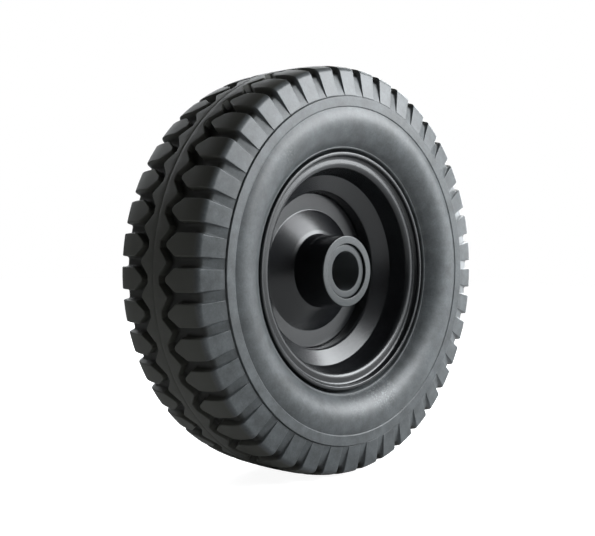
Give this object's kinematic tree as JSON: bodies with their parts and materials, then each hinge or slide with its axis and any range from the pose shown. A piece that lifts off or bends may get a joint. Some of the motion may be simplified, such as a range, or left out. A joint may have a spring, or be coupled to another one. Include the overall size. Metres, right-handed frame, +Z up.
{
  "type": "sod cutter wheel",
  "caption": "Small puncture-proof wheel with a lugged rubber tyre, black pressed steel rim, offset disc and a bushed hub for a plain axle.",
  "frame": {"origin": "centre of the wheel, on the axle line at the tyre's mid-plane", "axes": "+Y along the axle, the shown face looks to -Y; +Z up with the wheel upright on its tread"},
  "size_m": [0.26, 0.0806, 0.26],
  "materials": {
    "tyre_rubber": "matt moulded rubber",
    "painted_steel": "satin black",
    "bush_plastic": "turned, satin grey"
  },
  "bodies": {
    "root": {"tyre": "tyre_rubber", "rim": "painted_steel", "wheel_disc": "painted_steel", "hub_tube": "painted_steel", "front_bush": "bush_plastic", "rear_bush": "bush_plastic"}
  },
  "joints": []
}
